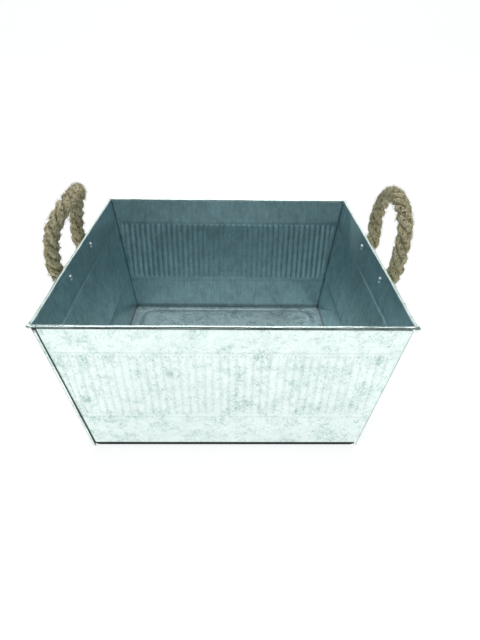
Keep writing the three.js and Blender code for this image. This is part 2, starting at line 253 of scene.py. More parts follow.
def sheet_loop(kind, value, quarter, relief, u, seed, with_curl, z_low):
    """One closed cross-section of the sheet at a column, as a list of points."""
    z = Z_ROWS.copy()
    z[0] = z_low
    d = relief(kind, value, quarter, z)
    outer = np.stack([*column_xy(kind, value, quarter, z, d), z], 1)
    inner = np.stack([*column_xy(kind, value, quarter, z, d - SHEET), z], 1)
    parts = [outer]
    if with_curl:
        w = bead_wander(u, seed)
        share = np.where((CURL_DZ > -1.0) | (CURL_DU > 0), 1.0, 0.6)
        away = (1 - abs(value)) * 130 if kind == "wall" else 0.0
        near = math.exp(-(away / 3.6) ** 2) if (quarter == 0 and value > 0) or quarter == 1 or kind == "arc" else 0.0
        fat = 1 + 0.30 * near * (0.75 + 0.25 * math.sin(u / 1.9 + seed))
        w += 0.22 * near * math.sin(u / 2.3 + 1.3 * seed)
        off = (BEAD_HALF + 0.45 * near + CURL_DU * fat) - half(BEAD_Z) + 0.35 * w * share
        zz = np.full(len(off), BEAD_Z)
        x, y = column_xy(kind, value, quarter, zz, off)
        parts.append(np.stack([x, y, BEAD_Z + CURL_DZ * fat + w * share], 1))
    parts.append(inner[::-1])
    return [tuple(q) for q in np.concatenate(parts)]


def splay(x, y, z):
    """The side walls' rim stands further out than a straight square, most from the middle to the rear. Arrays in mm."""
    amount = 1.3 + 1.2 * smoothstep((y + 130.0) / 110.0)
    return x + amount * np.clip(x / 130.0, -1, 1) * np.clip(z, 0.0, None) / 131.0


def spread(o):
    """Moves a small fitting out with the side wall that carries it."""
    co = np.zeros(len(o.data.vertices) * 3, np.float32)
    o.data.vertices.foreach_get("co", co)
    co = co.reshape(-1, 3).astype(float) / MM
    co[:, 0] = splay(co[:, 0], co[:, 1], co[:, 2])
    o.data.vertices.foreach_set("co", (co * MM).astype(np.float32).reshape(-1))
    o.data.update()


def wall_sheet(name, seed, turn):
    fields = [noise2(seed + 11 * q, 38.0) for q in range(2)]

    def relief(kind, value, quarter, z):
        if kind != "wall":
            return np.zeros(len(z))
        return wall_relief(value * half(z), z, seed, fields[quarter])

    soup = Soup()
    # every column: (kind, value, wall, distance along the rim)
    step = 0.72 / 121.0
    t_bead = -BEAD_START / float(half(BEAD_Z))
    main = [("wall", t, 0) for t in np.concatenate([[t_bead, t_bead + 0.001], np.arange(t_bead + 0.004, 1 - 0.010, step), [1 - 0.75 / 121.0]])]
    main += [("arc", a, 0) for a in (4, 14, 25, 35, 45, 55, 65, 76, 86)]
    main += [("wall", t, 1) for t in np.concatenate([[-1 + 0.75 / 121.0], np.arange(-1 + 0.010, 1 - 0.006, step), [1 - 0.001, 1.0]])]

    def z_low(kind, value, quarter):
        if kind == "arc":
            return 0.0
        edge = (1 - abs(value)) * BASE_HALF
        if quarter == 0 and value < 0:
            return WALL_BOTTOM
        return WALL_BOTTOM * float(smoothstep((edge - 2.0) / 1.4))

    loops = []
    for kind, value, quarter in main:
        u = (value if kind == "wall" else 1.0) * 130 + 262 * quarter
        loops.append(sheet_loop(kind, value, quarter, relief, u, seed, True, z_low(kind, value, quarter)))
    soup.grid(loops, close_cols=True)
    for row, flip in ((loops[0], False), (loops[-1], True)):
        cap_loop(soup, row, flip)

    # plain strip at the hidden left edge of the front wall, below the other sheet's rim
    t0 = -(BASE_HALF - SHEET - GAP) / BASE_HALF
    strip = []
    for t in (t0, (t0 + t_bead) / 2, t_bead):
        strip.append(sheet_loop("wall", t, 0, relief, 0, seed, False, WALL_BOTTOM))
    soup.grid(strip, close_cols=True)
    for row, flip in ((strip[0], False), (strip[-1], True)):
        cap_loop(soup, row, flip)

    # seam flange: the right wall's rear edge goes on past the corner and is folded round on the rear wall's outside
    rows = np.array([0.0, 2.3, 6, 20, 40, 60, 80, 100, 120, 127, 130.9])
    path = [("end", 0.0), ("end", 0.5)] + [("turn", a) for a in (10, 25, 40, 55, 70, 85, 90)] + [("back", b) for b in (0.4, 0.8, 1.0)]
    bands = []
    for kind, value in path:
        ring_out, ring_in = [], []
        for z in rows:
            h = float(half(z))
            reach = h + GAP + SHEET          # outer face of the flange, along y
            swell = 0.10 * math.sin(z / 7.3 + seed) + 0.06 * math.sin(z / 2.9)
            r = 1.0
            if kind == "end":
                y = h + value * (reach - r - h)
                po, pi = (h, y), (h - SHEET, y)
            elif kind == "turn":
                a = math.radians(value)
                cx, cy = h - r, reach - r
                po = (cx + r * math.cos(a), cy + r * math.sin(a))
                ri = max(r - SHEET, 0.25)
                pi = (cx + ri * math.cos(a), cy + ri * math.sin(a))
            else:
                x = h - r - value * (FLANGE + swell - r)
                po, pi = (x, reach), (x, reach - SHEET)
            ring_out.append((po[0], po[1], z))
            ring_in.append((pi[0], pi[1], z))
        bands.append(ring_out + ring_in[::-1])
    soup.grid(bands, close_cols=True)
    for row, flip in ((bands[0], False), (bands[-1], True)):
        cap_loop(soup, row, flip)

    # the rim's curl goes round the rear right corner and ends beside the other sheet's curl
    c = BEAD_HALF - BEAD_CORNER
    path = [(None, y, 0.0) for y in np.linspace(c - 2.6, c - 0.3, 5)] + [("arc", 0, a) for a in np.linspace(0, 90, 13)]
    path += [(x, None, 90.0) for x in np.linspace(c - 0.4, BEAD_WRAP + 0.1, 5)]
    bands = []
    for k, (x, y, a) in enumerate(path):
        ra = math.radians(a)
        nx, ny = math.cos(ra), math.sin(ra)
        w = 0.16 * math.sin(k * 0.55 + seed)
        knob = math.exp(-((k - 11) / 5.0) ** 2)
        fat = 1.0 + 0.20 * knob
        tight = fat if k < len(path) - 1 else 0.93
        ring = []
        for du, dz in CURL:
            if x == "arc":
                kk = (BEAD_CORNER + 0.15 * knob + du * tight) * squarish(ra)
                px, py = c + kk * nx, c + kk * ny
            elif x is None:
                px, py = BEAD_HALF + 0.15 * knob + du * tight, y
            else:
                px, py = x, BEAD_HALF + 0.15 * knob + du * tight
            ring.append((px, py, BEAD_Z + dz * tight + w))
        bands.append(ring)
    soup.grid(bands, close_cols=True)
    for row, flip in ((bands[0], False), (bands[-1], True)):
        cap_loop(soup, row, flip)

    if turn:
        soup.v = [(-x, -y, z) for x, y, z in soup.v]
    o = soup.object(name, sharp_deg=38)
    co = np.zeros(len(o.data.vertices) * 3, np.float32)
    o.data.vertices.foreach_get("co", co)
    co = co.reshape(-1, 3).astype(float) / MM
    out = co.copy()
    out[:, 0] = splay(co[:, 0], co[:, 1], co[:, 2])
    o.data.vertices.foreach_set("co", (out * MM).astype(np.float32).reshape(-1))
    o.data.update()
    if turn:
        co[:, :2] *= -1
    # painted shade for crevices, gaps and the walls' feet, which the zinc material turns into a darker colour
    att = o.data.attributes.new("painted_shade", "FLOAT", "POINT")
    att.data.foreach_set("value", painted_shade(co).astype(np.float32))
    nor = np.zeros(len(o.data.vertices) * 3, np.float32)
    o.data.vertices.foreach_get("normal", nor)
    nor = nor.reshape(-1, 3).astype(float) * (np.array([-1, -1, 1.0]) if turn else 1.0)
    across = np.where(np.abs(co[:, 0]) > np.abs(co[:, 1]), nor[:, 0] * np.sign(co[:, 0]), nor[:, 1] * np.sign(co[:, 1]))
    att = o.data.attributes.new("inside", "FLOAT", "POINT")
    att.data.foreach_set("value", ((across < 0) & (co[:, 2] < 132.3)).astype(np.float32))
    # a painted highlight on the inside of the right wall under the rim, towards the rear
    y, z = co[:, 1], co[:, 2]
    reach = 131.0 - 27.0 * np.clip((97.0 - y) / 36.0, 0.0, 1.0)
    painted_highlight = smoothstep((97.0 - y) / 4.0) * smoothstep((y - 18.0) / 40.0) * smoothstep((z - reach) / 13.0)
    painted_highlight = np.where((across < 0) & (co[:, 0] > 100) & (not turn), painted_highlight, 0.0)
    att = o.data.attributes.new("painted_highlight", "FLOAT", "POINT")
    att.data.foreach_set("value", painted_highlight.astype(np.float32))
    return o


def rim_wire(name):
    """The wire inside the rolled rim, on the same line as the curl."""
    r, c = 2.3, BEAD_HALF - 2.3
    path = []
    for q in range(4):
        a0 = math.radians(-90 + 90 * q)
        pts = [(BEAD_HALF, v) for v in np.linspace(-c, c, 70)[1:-1]]
        pts += [(c + r * math.cos(a), c + r * math.sin(a)) for a in np.radians(np.linspace(0, 90, 9))]
        path += [(x * math.cos(a0) - y * math.sin(a0), x * math.sin(a0) + y * math.cos(a0)) for x, y in pts]
    path = np.array(path)
    path[:, 0] = splay(path[:, 0], path[:, 1], np.full(len(path), BEAD_Z))
    step = np.roll(path, -1, axis=0) - np.roll(path, 1, axis=0)
    step /= np.linalg.norm(step, axis=1)[:, None]
    rings = []
    for (x, y), (tx, ty) in zip(path, step):
        rings.append([(x + ty * 0.45 * math.cos(a), y - tx * 0.45 * math.cos(a), BEAD_Z + 0.45 * math.sin(a)) for a in np.linspace(0, 2 * math.pi, 11)[:-1]])
    soup = Soup()
    soup.grid(rings, close_rows=True, close_cols=True)
    return soup.object(name)


def painted_shade(co):
    """Painted shade, as a darkening of the zinc colour: inside the rolled rim and under it, beside the seam flange, in
    bends and grooves, along the walls' feet.
    """
    x, y, z = co[:, 0], co[:, 1], co[:, 2]
    out = np.maximum(np.abs(x), np.abs(y))
    h = half(z)
    u = out - h
    du, dz = out - BEAD_HALF, z - BEAD_Z
    rad, ang = np.hypot(du, dz), np.degrees(np.arctan2(dz, du))
    g = np.zeros(len(x))
    # painted shade inside the hollow of the rolled rim and in the gap under it
    hollow = (rad < BEAD_R - 0.3) & (z > BEAD_Z - 1.3)
    g = np.where(hollow, 1.0, g)
    skin = (rad >= BEAD_R - 0.3) & (rad < BEAD_R + 0.45) & (z > BEAD_Z - 1.9)
    g = np.where(skin & (ang > -135) & (ang < 26), np.where(ang < -4, 1.0, smoothstep((26.0 - ang) / 30.0)), g)
    outer = (u > -0.32) & (z < 132.4) & ~skin
    g = np.where(outer & (z > 129.6), np.maximum(g, smoothstep((z - 129.9) / 1.2)), g)
    # the folded corners of the rim get little painted shade on top and more painted shade on their underside
    tip = (np.minimum(np.abs(x), np.abs(y)) > BEAD_HALF - 2.6) & (z > BEAD_Z - 2.2) & (rad > BEAD_R - 0.35)
    g = np.where(tip, 0.10 + 0.75 * smoothstep((-18.0 - ang) / 45.0) * (ang > -140), g)
    # painted shadow of the gap beside the other sheet's flange, on the front wall's left end
    front = outer & (y < 0) & (-y >= np.abs(x) - 3.0)
    d = x + h - FLANGE
    g = np.where(front & (z < 131.2) & (x < 0), np.maximum(g, np.where(d < -0.1, 1.2, 1.2 * np.exp(-((d + 0.1) / 0.22) ** 2))), g)
    # painted shade along the free edge of the seam flange
    g = np.where((y > h + 0.2) & (x < h - FLANGE + 0.25) & (z < 131.2), 0.9, g)
    g = np.where((y > h - 0.3) & (x > h - 0.75) & (z < 131.2), np.maximum(g, 0.66), g)
    # painted shade in the inside corners of the walls
    inner_corner = np.hypot(np.abs(x) - (h - SHEET), np.abs(y) - (h - SHEET))
    g = np.where((u < -0.2) & (z < 131.5), np.maximum(g, 0.75 * np.exp(-(inner_corner / 0.75) ** 2)), g)
    # painted shade in the front right bend, and the wall's cut bottom edge
    bend = np.exp(-(np.hypot(x - h, y + h) / 0.9) ** 2)
    g = np.maximum(g, np.where(outer, 0.50 * bend, 0))
    s = np.where(np.abs(y) > np.abs(x), x, y)
    edge = h - np.abs(s)
    # painted contact shadow: a black line along the foot of every wall, outside, and painted shade at the joint inside
    foot = smoothstep((4.32 - z) / 0.36) * smoothstep((edge - 2.2) / 1.0)
    g = np.maximum(g, np.where((u > -0.3) & (u < 0.45), 1.5 * foot, 0))
    g = np.maximum(g, np.where((u <= -0.3) & (z < 5.3), 0.5, 0))
    # painted shade in the grooves between the flutes and in the creases above and below them
    groove = (0.5 - 0.5 * np.cos(2 * math.pi * s / PITCH)) ** 4
    band = smoothstep((z - FLUTE_LOW + 1.5) / 3.0) * smoothstep((FLUTE_HIGH + 1.5 - z) / 3.0) * smoothstep((edge - 3.5) / 5.0)
    g = np.maximum(g, np.where(u > -0.3, 0.13, 0.0) * groove * band)
    for zc in (CREASE_HIGH, CREASE_LOW):
        g = np.maximum(g, 0.13 * np.exp(-((z - zc) / 0.7) ** 2) * smoothstep((edge - 1.5) / 3.0))
    return g


def cap_loop(soup, loop, flip):
    """Closes the end of a sheet's cross-section: the loop goes up one face and down the other."""
    n = len(loop)
    verts = list(loop)
    faces = []
    m = n // 2
    for i in range(m - 1):
        a, b, c, d = i, i + 1, n - 2 - i, n - 1 - i
        if b >= c:
            break
        faces.append((a, b, c, d) if flip else (a, d, c, b))
    if n % 2 == 1:
        faces.append((m - 1, m, m + 1) if flip else (m - 1, m + 1, m))
    soup.add(verts, faces)


# ---------------------------------------------------------------- base
PANEL, PANEL_CORNER = 103.5, 17.0
FLOOR_Z, RISE = 3.3, 1.3


def base_pan(name):
    fine = np.arange(84.0, 108.1, 0.8)
    lines = np.concatenate([-np.array([112.3, 111.6, 110.4])[::1], -fine[::-1], np.arange(-80, 81, 4.0), fine, [110.4, 111.6, 112.3]])
    lines = np.array(sorted(set(np.round(lines, 3))))
    X, Y = np.meshgrid(lines, lines, indexing="ij")
    f = noise2(51, 60.0)
    g = noise2(52, 24.0)
    # distance inside the rounded outline of the raised panel
    qx, qy = np.abs(X) - (PANEL - PANEL_CORNER), np.abs(Y) - (PANEL - PANEL_CORNER)
    dist = np.hypot(np.maximum(qx, 0), np.maximum(qy, 0)) + np.minimum(np.maximum(qx, qy), 0) - PANEL_CORNER
    inside = -dist
    Z = FLOOR_Z + RISE * smoothstep(inside / 6.5) + 0.22 * f(X, Y) * smoothstep((inside - 2) / 40.0) + 0.06 * g(X, Y) * smoothstep(inside / 12.0)
    Z = Z - 0.25 * np.exp(-((dist - 1.0) / 1.3) ** 2)
    edge = 112.3 - np.maximum(np.abs(X), np.abs(Y))
    Z = Z - 0.45 * (1 - smoothstep(edge / 1.2))
    corner = (np.abs(X) + np.abs(Y) - 205.5) / math.sqrt(2)
    Z = Z - 0.30 * np.exp(-(corner / 0.9) ** 2) * smoothstep((edge - 0.5) / 2.0)
    soup = Soup()
    top = np.stack([X, Y, Z], -1)
    low = top - np.array([0, 0, SHEET])
    n = len(lines)
    verts = [tuple(p) for p in top.reshape(-1, 3)] + [tuple(p) for p in low.reshape(-1, 3)]
    faces = []
    for i in range(n - 1):
        for j in range(n - 1):
            a = i * n + j
            faces.append((a, a + n, a + n + 1, a + 1))
            b = a + n * n
            faces.append((b, b + 1, b + n + 1, b + n))
    ring = [i * n for i in range(n)] + [(n - 1) * n + j for j in range(1, n)] + [i * n + n - 1 for i in range(n - 2, -1, -1)] + [j for j in range(n - 2, 0, -1)]
    for k in range(len(ring)):
        a, b = ring[k], ring[(k + 1) % len(ring)]
        faces.append((a, b, b + n * n, a + n * n))
    soup.add(verts, faces)
    # doubled edge folded back underneath, and the standing lip turned down from it
    profile = [(112.62, 2.05), (112.66, 1.2), (112.62, 0.25), (112.40, 0.03), (112.0, 0.0), (110.4, 0.0), (109.0, 0.0), (108.75, 0.06), (108.62, 0.3),
               (108.62, 0.9), (108.7, 2.0), (108.8, 2.35), (109.1, 2.55), (111.7, 2.6), (112.3, 2.5)]
    path = []
    for q in range(4):
        a0 = -90 + 90 * q
        for t in np.linspace(-1, 1, 23)[1:-1]:
            path.append(("side", t, a0))
        for a in (6, 25, 45, 65, 84):
            path.append(("corner", a, a0))
    rings = []
    for kind, v, a0 in path:
        ca, sa = math.cos(math.radians(a0)), math.sin(math.radians(a0))
        r = []
        for o, z in profile:
            c = 108.62 - 1.2
            if kind == "side":
                px, py = o, v * c
            else:
                rr = o - c
                px, py = c + rr * math.cos(math.radians(v)), c + rr * math.sin(math.radians(v))
            r.append((px * ca - py * sa, px * sa + py * ca, z))
        rings.append(r)
    soup.grid(rings, close_rows=True, close_cols=True)
    return soup.object(name, sharp_deg=40)


# ---------------------------------------------------------------- rope sockets and rivets
def socket_frame(side, y):
    n = np.array([side * math.cos(SLOPE), 0, -math.sin(SLOPE)])
    w = np.array([side * math.sin(SLOPE), 0, math.cos(SLOPE)])
    hinge = np.array([side * HINGE_X, y, HINGE_Z])
    foot = np.array([side * half(HINGE_Z), y, HINGE_Z])
    depth = float((hinge - foot) @ n)
    return n, w, hinge, depth


def lathe(soup, profile, centre, axis, ref, segments=40, wobble=None, close=True):
    """profile: (radius, height) points round axis, in order along a closed or axis-to-axis outline."""
    axis = np.array(axis) / np.linalg.norm(axis)
    e1 = np.array(ref) - axis * (np.array(ref) @ axis)
    e1 /= np.linalg.norm(e1)
    e2 = np.cross(axis, e1)
    rows = []
    for r, h in profile:
        row = []
        for k in range(segments):
            a = 2 * math.pi * k / segments
            rr = r + (wobble(a, h, r) if wobble and r > 0 else 0)
            row.append(tuple(np.array(centre) + axis * h + (e1 * math.cos(a) + e2 * math.sin(a)) * rr))
        rows.append(row)
    soup.grid(rows, close_rows=False, close_cols=True)


def rope_socket(name, side, y, seed):
    n, w, hinge, depth = socket_frame(side, y)
    R, B = 7.4, 6.25
    mouth, L = -6.3, 20.0
    r = np.random.default_rng(seed)
    # two rows of crimp dents hold the rope
    ph = r.uniform(0, 6.28)

    def crimp(a, h, rad):
        d = 0
        for hc in (mouth - 6.5, mouth - 13.0):
            d += -0.55 * math.exp(-((h - hc) / 1.5) ** 2) * (0.55 + 0.45 * math.cos(3 * a + ph + hc))
        return d if rad > 6.9 else 0.4 * d

    prof = []
    for a in np.linspace(0, 90, 8):
        prof.append((max((R - 1.6) + 1.6 * math.sin(math.radians(a)) if a else R - 1.6, 0.0), mouth - L + 1.6 - 1.6 * math.cos(math.radians(a))))
    prof = [(0.0, mouth - L), (2.5, mouth - L), (4.6, mouth - L)] + prof
    prof += [(R, h) for h in np.linspace(mouth - L + 2.2, mouth - 1.2, 26)]
    # rolled mouth
    prof += [(R + 0.05, mouth - 0.8), (R, mouth - 0.4), (R - 0.22, mouth - 0.1), (R - 0.55, mouth), (B + 0.2, mouth - 0.12), (B + 0.02, mouth - 0.5)]
    prof += [(B, h) for h in np.linspace(mouth - 1.4, mouth - L + 1.6, 12)]
    prof += [(B - 1.0, mouth - L + 1.15), (0.0, mouth - L + 1.1)]
    soup = Soup()
    lathe(soup, prof, hinge, w, n, 40, crimp)
    # flat tab with rounded top, pressed edges
    low, high, hw, rad = -16.2, 2.4, 6.5, 3.4
    outline = []
    for cx, cy, a0, rr in ((hw - rad, high - rad, 0, rad), (-hw + rad, high - rad, 90, rad), (-hw + 1.2, low + 1.2, 180, 1.2), (hw - 1.2, low + 1.2, 270, 1.2)):
        for a in np.linspace(a0, a0 + 90, 7):
            outline.append((cx + rr * math.cos(math.radians(a)), cy + rr * math.sin(math.radians(a))))
    rows = []
    centre = hinge - n * depth
    cyy = (low + high) / 2
    for u, inset in ((GAP, 0.35), (GAP + 0.12, 0.1), (GAP + 0.3, 0.0), (GAP + 1.2, 0.0), (GAP + 1.42, 0.12), (GAP + 1.5, 0.38)):
        row = []
        for px, py in outline:
            k = 1 - inset / hw
            q = centre + n * u + np.array([0, side * px * k, 0]) + w * (cyy + (py - cyy) * (1 - inset / ((high - low) / 2)))
            row.append(tuple(q))
        rows.append(row)
    soup.grid(rows, close_cols=True)
    for row, flip in ((rows[0], True), (rows[-1], False)):
        c = tuple(np.mean(np.array(row), 0))
        m = len(row)
        soup.add(row + [c], [((i + 1) % m, i, m) if flip else (i, (i + 1) % m, m) for i in range(m)])
    return soup.object(name, sharp_deg=42)


def rivet(name, side, y, seed):
    n, w, hinge, depth = socket_frame(side, y)
    centre = hinge - n * depth - w * 2.5
    inner, outer = -SHEET - GAP, GAP + 1.5 + 0.25
    prof = []
    for a in np.linspace(0, 84, 9):
        prof.append((2.55 * math.sin(math.radians(a)), inner - 0.12 - 0.85 * math.cos(math.radians(a))))
    prof[0] = (0.0, inner - 0.97 + 0.16)
    prof[1] = (0.45, inner - 0.93 + 0.10)
    prof += [(2.58, inner - 0.05), (2.5, inner + 0.22), (1.6, inner + 0.25), (1.6, outer), (2.5, outer), (2.6, outer + 0.25), (2.35, outer + 0.6), (1.7, outer + 0.78), (1.0, outer + 0.66), (0.0, outer + 0.6)]
    r = np.random.default_rng(seed)
    ph = r.uniform(0, 6.28, 3)
    soup = Soup()
    lathe(soup, prof, centre, n, w, 36, lambda a, h, rad: 0.05 * math.sin(2 * a + ph[0]) + 0.03 * math.sin(5 * a + ph[1]))
    return soup.object(name, sharp_deg=45)


# ---------------------------------------------------------------- rope
LOOPS = {
    "left": [(-138.2, -42.0, 125.0), (-140.9, -41.9, 136.0), (-141.8, -41.0, 150.0), (-138.0, -37.4, 166.6), (-132.9, -30.0, 176.6), (-129.9, -18.4, 181.2),
             (-129.1, -2.0, 182.3), (-130.3, 13.4, 180.6), (-133.8, 24.2, 174.9), (-138.8, 30.6, 163.6), (-141.9, 32.6, 148.0), (-141.4, 31.0, 136.5), (-138.2, 26.0, 125.0)],
    "right": [(138.2, -42.0, 125.0), (141.2, -43.2, 136.5), (143.2, -42.9, 148.5), (145.4, -38.7, 164.7), (145.8, -27.9, 176.0), (145.6, -14.3, 182.1),
              (145.5, -1.6, 183.6), (145.7, 12.0, 181.0), (145.8, 25.6, 173.8), (145.2, 35.4, 161.2), (143.4, 37.2, 147.0), (141.2, 33.6, 135.5), (138.2, 26.0, 125.0)],
}


def centripetal(points, per=48):
    """A smooth curve through the points."""
    p = np.array(points, float)
    p = np.vstack([2 * p[0] - p[1], p, 2 * p[-1] - p[-2]])
    out = []
    for i in range(1, len(p) - 2):
        p0, p1, p2, p3 = p[i - 1:i + 3]
        t0 = 0.0
        t1 = t0 + math.sqrt(np.linalg.norm(p1 - p0))
        t2 = t1 + math.sqrt(np.linalg.norm(p2 - p1))
        t3 = t2 + math.sqrt(np.linalg.norm(p3 - p2))
        t = np.linspace(t1, t2, per, endpoint=False)[:, None]
        a1 = (t1 - t) / (t1 - t0) * p0 + (t - t0) / (t1 - t0) * p1
        a2 = (t2 - t) / (t2 - t1) * p1 + (t - t1) / (t2 - t1) * p2
        a3 = (t3 - t) / (t3 - t2) * p2 + (t - t2) / (t3 - t2) * p3
        b1 = (t2 - t) / (t2 - t0) * a1 + (t - t0) / (t2 - t0) * a2
        b2 = (t3 - t) / (t3 - t1) * a2 + (t - t1) / (t3 - t1) * a3
        out.append((t2 - t) / (t2 - t1) * b1 + (t - t1) / (t2 - t1) * b2)
    return np.vstack(out + [p[-2][None]])


def evenly(line, step):
    d = np.concatenate([[0], np.cumsum(np.linalg.norm(np.diff(line, axis=0), axis=1))])
    n = max(2, int(round(d[-1] / step)) + 1)
    s = np.linspace(0, d[-1], n)
    return np.stack([np.interp(s, d, line[:, k]) for k in range(3)], 1), s


def frames(line):
    t = np.gradient(line, axis=0)
    t /= np.linalg.norm(t, axis=1)[:, None]
    n = np.zeros_like(t)
    start = np.array([0.0, 1.0, 0.0]) if abs(t[0][1]) < 0.9 else np.array([1.0, 0, 0])
    n[0] = start - t[0] * (start @ t[0])
    n[0] /= np.linalg.norm(n[0])
    for i in range(1, len(t)):
        v = n[i - 1] - t[i] * (n[i - 1] @ t[i])
        n[i] = v / np.linalg.norm(v)
    return t, n, np.cross(t, n)


def rope_line(side_name):
    side = -1 if side_name == "left" else 1
    pts = LOOPS[side_name]
    _, w, hinge0, _ = socket_frame(side, LEG_Y[0])
    _, w1, hinge1, _ = socket_frame(side, LEG_Y[1])
    down = [tuple(hinge0 + w * h) for h in (-24.5, -18.0, -12.0, -6.0)]
    up = [tuple(hinge1 + w1 * h) for h in (-6.0, -12.0, -18.0, -24.5)]
    line = centripetal(down + list(pts) + up)
    # soften the kinks where the loop leaves its sockets
    line, s = evenly(line, 0.7)
    k = np.hanning(19)
    k /= k.sum()
    pad = np.vstack([np.repeat(line[:1], 9, 0), line, np.repeat(line[-1:], 9, 0)])
    for _ in range(2):
        sm = np.stack([np.convolve(pad[:, j], k, mode="valid") for j in range(3)], 1)
        pad = np.vstack([np.repeat(line[:1], 9, 0), sm, np.repeat(line[-1:], 9, 0)])
    return evenly(sm, 0.7)


def rope(name, side_name, seed):
    r = np.random.default_rng(seed)
    line, s = rope_line(side_name)
    t, n, b = frames(line)
    LAY, RC, RS, SIDES, YARNS = 30.0, 3.12, 2.86, 44, 8
    lay_wander = 0.35 * np.sin(s / 23.0 + r.uniform(0, 6)) + 0.2 * np.sin(s / 9.0 + r.uniform(0, 6))
    theta0 = r.uniform(0, 2 * math.pi)
    verts, faces, uv, shade = [], [], [], []
    centres = []
    for strand in range(3):
        theta = theta0 + 2 * math.pi * strand / 3 - 2 * math.pi * s / LAY + lay_wander * 0.35
        er = n * np.cos(theta)[:, None] + b * np.sin(theta)[:, None]
        squeeze = 1 - 0.06 * np.exp(-((s - 22) / 4.0) ** 2) - 0.06 * np.exp(-((s - (s[-1] - 22)) / 4.0) ** 2)
        squeeze = squeeze * (1 + 0.065 * smoothstep((s - 25) / 6.0) * smoothstep((s[-1] - 25 - s) / 6.0))
        c = line + er * (RC * squeeze * (1 + 0.035 * np.sin(s / 6.1 + strand * 2.2 + seed)))[:, None]
        centres.append(c)
        ts = np.gradient(c, axis=0)
        ts /= np.linalg.norm(ts, axis=1)[:, None]
        e1 = er - ts * np.sum(er * ts, 1)[:, None]
        e1 /= np.linalg.norm(e1, axis=1)[:, None]
        e2 = np.cross(ts, e1)
        phi = np.linspace(0, 2 * math.pi, SIDES, endpoint=False)
        P, S = np.meshgrid(phi, s)
        yarn_turn = 2 * math.pi * S * (1 / 26.0 + 1 / LAY)
        psi = P - yarn_turn
        ph = r.uniform(0, 2 * math.pi, 6)
        wobble = 0.5 * np.sin(S / 5.3 + ph[0]) + 0.35 * np.sin(S / 2.1 + 2 * psi + ph[1])
        ridge = np.abs(np.cos(YARNS / 2 * psi + 0.35 * wobble)) ** 0.8
        # single yarns stand prouder or lie deeper than their neighbours
        which = np.floor((YARNS * psi / (2 * math.pi)) % YARNS).astype(int)
        proud = r.normal(0, 0.10, (YARNS,))[which % YARNS]
        fibre = 0.05 * np.sin(37 * psi + 1.7 * np.sin(S / 3.1 + ph[2])) + 0.035 * np.sin(61 * psi + S / 1.9 + ph[3])
        lumps = 0.13 * np.sin(S / 0.62 + 4 * psi + ph[0]) * np.sin(S / 1.7 + 2 * psi + ph[1]) + 0.24 * np.sin(S / 2.3 + 3 * psi + ph[5]) * np.sin(S / 3.7 - 2 * psi + ph[3]) + 0.18 * np.sin(S / 1.1 + 5 * psi + ph[4])
        radius = RS * (1 + 0.03 * np.sin(S / 7.7 + ph[4])) * squeeze[:, None] - 0.34 + 0.34 * ridge + 0.7 * proud + fibre + lumps
        pts = c[:, None, :] + e1[:, None, :] * (np.cos(P) * radius)[..., None] + e2[:, None, :] * (np.sin(P) * radius)[..., None]
        base = len(verts)
        m = len(s)
        verts.extend(map(tuple, pts.reshape(-1, 3)))
        # painted shade: faces deep between the strands, and in the grooves between yarns, get a low value that darkens
        # the rope colour
        away = np.linalg.norm(pts - line[:, None, :], axis=2)
        lit = np.clip((away - 3.0) / 2.3, 0, 1)
        shade.extend((lit * (0.62 + 0.38 * ridge)).reshape(-1).tolist())
        uv.extend(np.stack([S / 10.0, (YARNS * psi / (2 * math.pi))], -1).reshape(-1, 2).tolist())
        for i in range(m - 1):
            for j in range(SIDES):
                k = (j + 1) % SIDES
                faces.append((base + i * SIDES + j, base + i * SIDES + k, base + (i + 1) * SIDES + k, base + (i + 1) * SIDES + j))
        for i, flip in ((0, True), (m - 1, False)):
            centre = len(verts)
            verts.append(tuple(c[i]))
            shade.append(0.4)
            uv.append([s[i] / 10.0, 0.0])
            for j in range(SIDES):
                k = (j + 1) % SIDES
                a, q = base + i * SIDES + j, base + i * SIDES + k
                faces.append((q, a, centre) if flip else (a, q, centre))
    # loose fibres: thin curved slivers that leave the strands
    centres = np.array(centres)
    live = np.where((s > 21) & (s < s[-1] - 21))[0]
    for _ in range(3800):
        i = int(r.choice(live))
        st = int(r.integers(3))
        c = centres[st][i]
        out = c - line[i]
        out /= np.linalg.norm(out)
        side_dir = np.cross(t[i], out)
        ang = r.normal(0, 0.75)
        d0 = out * math.cos(ang) + side_dir * math.sin(ang)
        along = t[i] * (1 if r.random() < 0.5 else -1)
        start = c + d0 * (RS - 0.25)
        length = float(np.clip(r.gamma(2.2, 1.9), 1.4, 10.0))
        lift = r.uniform(0.15, 0.8)
        curl_dir = side_dir * r.normal(0, 0.5) + d0 * r.normal(-0.25, 0.35)
        w0 = r.uniform(0.05, 0.14)
        steps = 5
        tuft = float(r.uniform(0.25, 1.0))
        ringbase = len(verts)
        direction = along * (1 - lift) + d0 * lift + side_dir * r.normal(0, 0.35)
        direction /= np.linalg.norm(direction)
        pt = start.copy()
        e1 = np.cross(direction, d0)
        e1 /= max(np.linalg.norm(e1), 1e-6)
        e2 = np.cross(direction, e1)
        for q in range(steps):
            ww = w0 * (1 - 0.8 * q / (steps - 1))
            for a in (0.5, 2.6, 4.7):
                verts.append(tuple(pt + e1 * ww * math.cos(a) + e2 * ww * math.sin(a)))
                shade.append(tuft)
                uv.append([s[i] / 10.0 + 0.02 * q, 0.37 * st])
            direction = direction + curl_dir * 0.35
            direction /= np.linalg.norm(direction)
            pt = pt + direction * length / (steps - 1)
